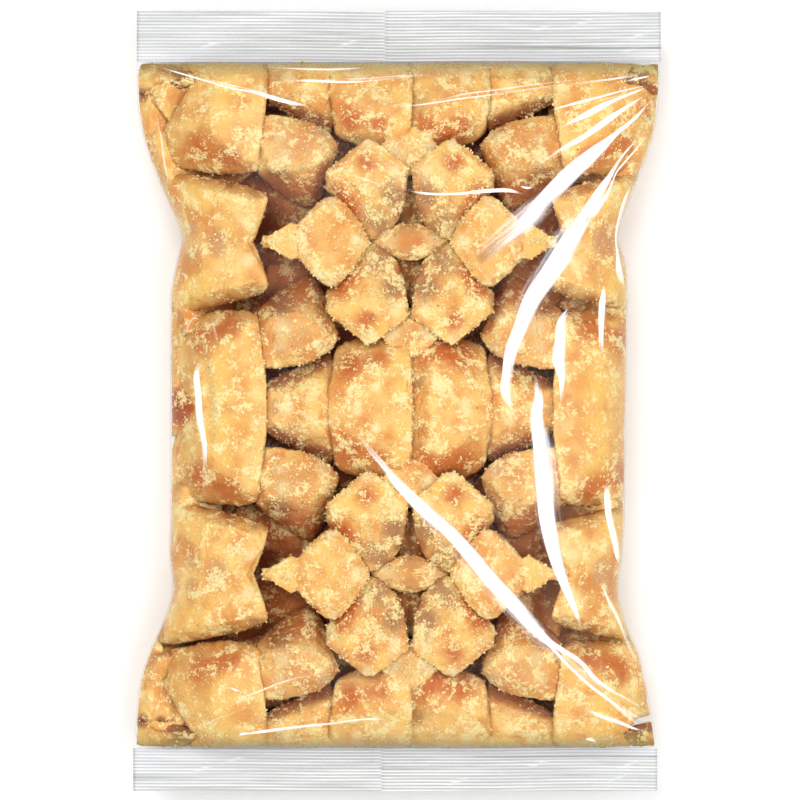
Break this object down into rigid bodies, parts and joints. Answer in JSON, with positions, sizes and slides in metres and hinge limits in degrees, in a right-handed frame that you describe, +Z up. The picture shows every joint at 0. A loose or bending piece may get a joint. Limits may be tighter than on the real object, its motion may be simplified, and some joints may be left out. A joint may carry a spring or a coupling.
{
  "type": "pack of jaggery blocks",
  "caption": "Clear sealed pillow pack full of crumbly golden jaggery blocks, with a crimped seal across each end and a lap seam along the back.",
  "frame": {"origin": "on the surface the pack lies on, under the middle of its box", "axes": "+Z up out of the shown side, +Y along the pack towards its top seal, +X to the right of the shown side"},
  "size_m": [0.1718, 0.254, 0.0479],
  "materials": {
    "jaggery": "crumbly, sugary, matt",
    "crimped_film": "silvery crimped film",
    "clear_film": "clear glossy film"
  },
  "bodies": {
    "root": {"filled_pack": "jaggery", "top_end_seal": "crimped_film", "bottom_end_seal": "crimped_film", "back_seam": "clear_film"}
  },
  "joints": []
}
